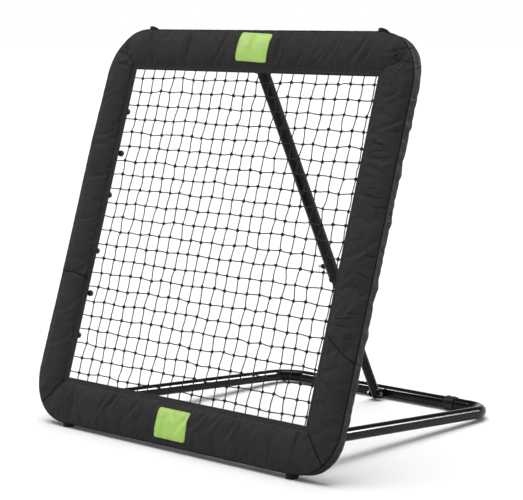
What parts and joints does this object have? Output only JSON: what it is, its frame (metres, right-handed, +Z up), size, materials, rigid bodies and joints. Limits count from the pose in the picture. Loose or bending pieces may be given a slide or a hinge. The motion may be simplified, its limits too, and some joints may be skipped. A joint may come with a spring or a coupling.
{
  "type": "pitch back rebounder",
  "caption": "Square ball rebounder with a padded cover around a tight net, leaning back on a U-shaped tube base with an adjustable telescopic rear strut",
  "frame": {"origin": "middle of the footprint on the ground", "axes": "+X to the right as seen by a player in front of the net, +Y backward from the net to the rear bar, +Z up; the net faces -Y"},
  "size_m": [1.24, 0.993, 1.2085],
  "materials": {
    "black_tube": "gloss black powder coat",
    "padded_cover": "black woven nylon with a soft sheen",
    "lime_patch": "lime green printed patch, bare",
    "net_twine": "black knotted twine",
    "bungee_cord": "black braided elastic cord",
    "foot_rubber": "black rubber",
    "black_plastic": "black moulded plastic",
    "bright_steel": "zinc plated steel"
  },
  "bodies": {
    "base": {"leg_end_plug_left": "black_plastic", "leg_end_plug_right": "black_plastic", "base_side_tube_left": "black_tube", "base_side_tube_right": "black_tube", "base_rear_tube": "black_tube", "base_splice_left": "black_tube", "base_splice_right": "black_tube", "base_joint_collar_left": "black_plastic", "base_joint_collar_right": "black_plastic", "base_joint_screws": "bright_steel", "rear_lugs": "black_tube", "strut_bottom_bolt": "bright_steel", "strut_bottom_nut": "bright_steel"},
    "frame": {"upper_frame_tube": "black_tube", "lower_frame_tube": "black_tube", "frame_splice_left": "black_tube", "frame_splice_right": "black_tube", "splice_screws": "bright_steel", "cover_top": "padded_cover", "cover_bottom": "padded_cover", "cover_left_upper": "padded_cover", "cover_left_lower": "padded_cover", "cover_right_upper": "padded_cover", "cover_right_lower": "padded_cover", "cover_patch_top": "lime_patch", "cover_patch_bottom": "lime_patch", "net": "net_twine", "net_border_rope": "net_twine", "bungee_loops": "bungee_cord", "bungee_balls": "black_plastic", "foot_bottom_left": "foot_rubber", "foot_bottom_right": "foot_rubber", "foot_top_left": "foot_rubber", "foot_top_right": "foot_rubber", "leg_lugs_left": "black_tube", "leg_lugs_right": "black_tube", "strut_lugs": "black_tube", "leg_pivot_bolts": "bright_steel", "leg_pivot_nuts": "bright_steel"},
    "strut_lower": {"strut_lower_tube": "black_tube", "strut_bottom_plug": "black_plastic", "strut_plug_rivets": "bright_steel", "strut_slide_ring": "black_plastic"},
    "strut_upper": {"strut_upper_tube": "black_tube", "strut_top_plug": "black_plastic", "strut_bush": "black_plastic", "lock_housing": "black_tube", "strut_top_bolt": "bright_steel", "strut_top_nut": "bright_steel"},
    "lock_pin": {"lock_pin": "bright_steel"},
    "lock_ring": {"lock_ring": "bright_steel"}
  },
  "joints": [
    {"name": "frame_tilt", "type": "hinge", "parent": "base", "child": "frame", "pos_m": [0, -0.41853, 0.08108], "axis": [-1, 0, 0], "range_deg": [-4, 16]},
    {"name": "strut_swing", "type": "hinge", "parent": "base", "child": "strut_lower", "pos_m": [0, 0.42935, 0.02098], "axis": [-1, 0, 0], "range_deg": [-3, 11]},
    {"name": "strut_slide", "type": "slide", "parent": "strut_lower", "child": "strut_upper", "axis": [0, -0.4416, 0.8972], "range_m": [-0.216, 0.055]},
    {"name": "lock_pull", "type": "slide", "parent": "strut_upper", "child": "lock_pin", "axis": [-1, 0, 0], "range_m": [-0.006, 0.004], "stiffness_N_per_m": 400},
    {"name": "ring_swing", "type": "hinge", "parent": "lock_pin", "child": "lock_ring", "pos_m": [-0.0465, 0.21427, 0.45791], "axis": [0, 0.8972, 0.4416], "range_deg": [-30, 90]}
  ],
  "couplings": [
    {"joint": "strut_swing", "follows": "frame_tilt", "ratio": 0.6568},
    {"joint": "strut_slide", "follows": "frame_tilt", "m_per_rad": -0.76633}
  ]
}
